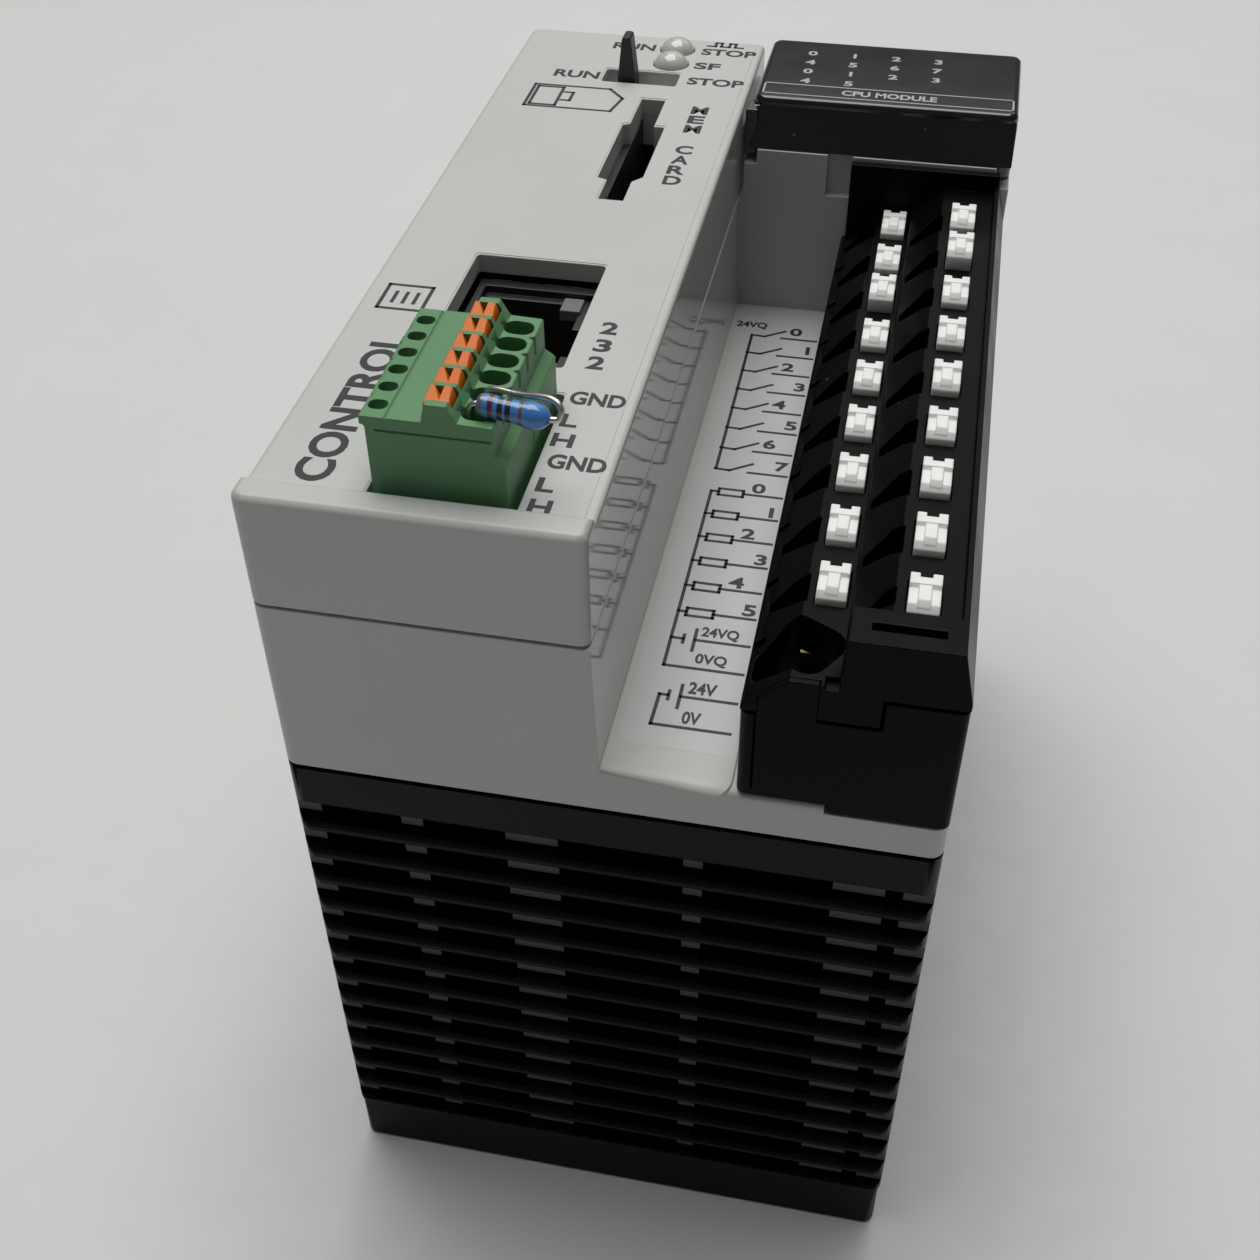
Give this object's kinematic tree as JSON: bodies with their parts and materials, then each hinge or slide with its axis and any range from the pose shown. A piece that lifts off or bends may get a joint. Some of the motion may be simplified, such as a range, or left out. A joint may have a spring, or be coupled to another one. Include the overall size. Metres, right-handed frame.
{
  "type": "compact programmable controller module",
  "caption": "Compact controller module: louvred base, light grey CPU block with plug, jack and card slot, wiring recess and a two-tier pull-off lever terminal block.",
  "frame": {"origin": "centre of the flat mounting face at the back of the module", "axes": "+Z out of the front face, +Y to the top end of the module, +X to the right seen from the front"},
  "size_m": [0.06, 0.1, 0.1032],
  "materials": {
    "black_housing": "fine matt texture",
    "light_grey_housing": "fine matt texture",
    "front_foil": "satin printed foil",
    "dark_window": "glossy, dark translucent",
    "lever_white": "satin",
    "plug_green": "satin",
    "button_orange": "satin",
    "resistor_blue": "glossy lacquer",
    "tinned_wire": "bright tinned",
    "plated_steel": "zinc plated",
    "contact_brass": "plain",
    "circuit_board": "solder mask",
    "clear_lens": "clear",
    "switch_black": "satin"
  },
  "bodies": {
    "housing": {"base_housing": "black_housing", "rear_cover": "black_housing", "housing_frame": "light_grey_housing", "front_cap": "light_grey_housing", "front_foil": "front_foil", "wiring_label": "front_foil", "led_cover": "dark_window", "led_board": "circuit_board", "light_guide": "clear_lens", "bus_header": "plug_green", "serial_jack": "black_housing", "card_socket": "black_housing", "mode_switch": "black_housing", "status_led_run": "clear_lens", "status_led_fault": "clear_lens", "front_board": "circuit_board", "cpu_board": "circuit_board", "io_board": "circuit_board", "terminal_header": "black_housing", "backplane_connector": "black_housing", "backup_cell": "plated_steel"},
    "terminal_block": {"terminal_base": "black_housing", "terminal_cover": "black_housing", "contact_strip_left": "contact_brass", "contact_strip_right": "contact_brass"},
    "fixing_screw": {"fixing_screw": "plated_steel"},
    "mode_lever": {"mode_lever": "switch_black"},
    "bus_plug": {"bus_plug": "plug_green", "resistor_body": "resistor_blue", "resistor_lead_left": "tinned_wire", "resistor_lead_right": "tinned_wire"},
    "lever_left_1": {"lever_left_1": "lever_white"},
    "lever_left_2": {"lever_left_2": "lever_white"},
    "lever_left_3": {"lever_left_3": "lever_white"},
    "lever_left_4": {"lever_left_4": "lever_white"},
    "lever_left_5": {"lever_left_5": "lever_white"},
    "lever_left_6": {"lever_left_6": "lever_white"},
    "lever_left_7": {"lever_left_7": "lever_white"},
    "lever_left_8": {"lever_left_8": "lever_white"},
    "lever_left_9": {"lever_left_9": "lever_white"},
    "lever_right_1": {"lever_right_1": "lever_white"},
    "lever_right_2": {"lever_right_2": "lever_white"},
    "lever_right_3": {"lever_right_3": "lever_white"},
    "lever_right_4": {"lever_right_4": "lever_white"},
    "lever_right_5": {"lever_right_5": "lever_white"},
    "lever_right_6": {"lever_right_6": "lever_white"},
    "lever_right_7": {"lever_right_7": "lever_white"},
    "lever_right_8": {"lever_right_8": "lever_white"},
    "lever_right_9": {"lever_right_9": "lever_white"},
    "plug_button_1": {"plug_button_1": "button_orange"},
    "plug_button_2": {"plug_button_2": "button_orange"},
    "plug_button_3": {"plug_button_3": "button_orange"},
    "plug_button_4": {"plug_button_4": "button_orange"},
    "plug_button_5": {"plug_button_5": "button_orange"},
    "plug_button_6": {"plug_button_6": "button_orange"}
  },
  "joints": [
    {"name": "terminal_block_pull", "type": "slide", "parent": "housing", "child": "terminal_block", "axis": [0, 0, 1], "range_m": [0, 0.025]},
    {"name": "fixing_screw_turn", "type": "hinge", "parent": "terminal_block", "child": "fixing_screw", "pos_m": [0.0159, -0.0459, 0.074], "axis": [0, 0, 1], "continuous": true},
    {"name": "mode_slide", "type": "slide", "parent": "housing", "child": "mode_lever", "axis": [1, 0, 0], "range_m": [0, 0.0032]},
    {"name": "bus_plug_pull", "type": "slide", "parent": "housing", "child": "bus_plug", "axis": [0, 0, 1], "range_m": [0, 0.015]},
    {"name": "lever_left_1_press", "type": "hinge", "parent": "terminal_block", "child": "lever_left_1", "pos_m": [0.01775, 0.0247, 0.0813], "axis": [-1, 0, 0], "range_deg": [0, 14], "stiffness_Nm_per_rad": 0.02},
    {"name": "lever_left_2_press", "type": "hinge", "parent": "terminal_block", "child": "lever_left_2", "pos_m": [0.01775, 0.01665, 0.0813], "axis": [-1, 0, 0], "range_deg": [0, 14], "stiffness_Nm_per_rad": 0.02},
    {"name": "lever_left_3_press", "type": "hinge", "parent": "terminal_block", "child": "lever_left_3", "pos_m": [0.01775, 0.0086, 0.0821], "axis": [-1, 0, 0], "range_deg": [0, 14], "stiffness_Nm_per_rad": 0.02},
    {"name": "lever_left_4_press", "type": "hinge", "parent": "terminal_block", "child": "lever_left_4", "pos_m": [0.01775, 0.00055, 0.0813], "axis": [-1, 0, 0], "range_deg": [0, 14], "stiffness_Nm_per_rad": 0.02},
    {"name": "lever_left_5_press", "type": "hinge", "parent": "terminal_block", "child": "lever_left_5", "pos_m": [0.01775, -0.0075, 0.0813], "axis": [-1, 0, 0], "range_deg": [0, 14], "stiffness_Nm_per_rad": 0.02},
    {"name": "lever_left_6_press", "type": "hinge", "parent": "terminal_block", "child": "lever_left_6", "pos_m": [0.01775, -0.01555, 0.0813], "axis": [-1, 0, 0], "range_deg": [0, 14], "stiffness_Nm_per_rad": 0.02},
    {"name": "lever_left_7_press", "type": "hinge", "parent": "terminal_block", "child": "lever_left_7", "pos_m": [0.01775, -0.0236, 0.0813], "axis": [-1, 0, 0], "range_deg": [0, 14], "stiffness_Nm_per_rad": 0.02},
    {"name": "lever_left_8_press", "type": "hinge", "parent": "terminal_block", "child": "lever_left_8", "pos_m": [0.01775, -0.03165, 0.0813], "axis": [-1, 0, 0], "range_deg": [0, 14], "stiffness_Nm_per_rad": 0.02},
    {"name": "lever_left_9_press", "type": "hinge", "parent": "terminal_block", "child": "lever_left_9", "pos_m": [0.01775, -0.0397, 0.0813], "axis": [-1, 0, 0], "range_deg": [0, 14], "stiffness_Nm_per_rad": 0.02},
    {"name": "lever_right_1_press", "type": "hinge", "parent": "terminal_block", "child": "lever_right_1", "pos_m": [0.02525, 0.0195, 0.0855], "axis": [-1, 0, 0], "range_deg": [0, 14], "stiffness_Nm_per_rad": 0.02},
    {"name": "lever_right_2_press", "type": "hinge", "parent": "terminal_block", "child": "lever_right_2", "pos_m": [0.02525, 0.01145, 0.0863], "axis": [-1, 0, 0], "range_deg": [0, 14], "stiffness_Nm_per_rad": 0.02},
    {"name": "lever_right_3_press", "type": "hinge", "parent": "terminal_block", "child": "lever_right_3", "pos_m": [0.02525, 0.0034, 0.0855], "axis": [-1, 0, 0], "range_deg": [0, 14], "stiffness_Nm_per_rad": 0.02},
    {"name": "lever_right_4_press", "type": "hinge", "parent": "terminal_block", "child": "lever_right_4", "pos_m": [0.02525, -0.00465, 0.0855], "axis": [-1, 0, 0], "range_deg": [0, 14], "stiffness_Nm_per_rad": 0.02},
    {"name": "lever_right_5_press", "type": "hinge", "parent": "terminal_block", "child": "lever_right_5", "pos_m": [0.02525, -0.0127, 0.0855], "axis": [-1, 0, 0], "range_deg": [0, 14], "stiffness_Nm_per_rad": 0.02},
    {"name": "lever_right_6_press", "type": "hinge", "parent": "terminal_block", "child": "lever_right_6", "pos_m": [0.02525, -0.02075, 0.0855], "axis": [-1, 0, 0], "range_deg": [0, 14], "stiffness_Nm_per_rad": 0.02},
    {"name": "lever_right_7_press", "type": "hinge", "parent": "terminal_block", "child": "lever_right_7", "pos_m": [0.02525, -0.0288, 0.0855], "axis": [-1, 0, 0], "range_deg": [0, 14], "stiffness_Nm_per_rad": 0.02},
    {"name": "lever_right_8_press", "type": "hinge", "parent": "terminal_block", "child": "lever_right_8", "pos_m": [0.02525, -0.03685, 0.0855], "axis": [-1, 0, 0], "range_deg": [0, 14], "stiffness_Nm_per_rad": 0.02},
    {"name": "lever_right_9_press", "type": "hinge", "parent": "terminal_block", "child": "lever_right_9", "pos_m": [0.02525, -0.0449, 0.0855], "axis": [-1, 0, 0], "range_deg": [0, 14], "stiffness_Nm_per_rad": 0.02},
    {"name": "plug_button_1_press", "type": "slide", "parent": "bus_plug", "child": "plug_button_1", "axis": [0, 0, -1], "range_m": [0, 0.0015], "stiffness_N_per_m": 150},
    {"name": "plug_button_2_press", "type": "slide", "parent": "bus_plug", "child": "plug_button_2", "axis": [0, 0, -1], "range_m": [0, 0.0015], "stiffness_N_per_m": 150},
    {"name": "plug_button_3_press", "type": "slide", "parent": "bus_plug", "child": "plug_button_3", "axis": [0, 0, -1], "range_m": [0, 0.0015], "stiffness_N_per_m": 150},
    {"name": "plug_button_4_press", "type": "slide", "parent": "bus_plug", "child": "plug_button_4", "axis": [0, 0, -1], "range_m": [0, 0.0015], "stiffness_N_per_m": 150},
    {"name": "plug_button_5_press", "type": "slide", "parent": "bus_plug", "child": "plug_button_5", "axis": [0, 0, -1], "range_m": [0, 0.0015], "stiffness_N_per_m": 150},
    {"name": "plug_button_6_press", "type": "slide", "parent": "bus_plug", "child": "plug_button_6", "axis": [0, 0, -1], "range_m": [0, 0.0015], "stiffness_N_per_m": 150}
  ]
}
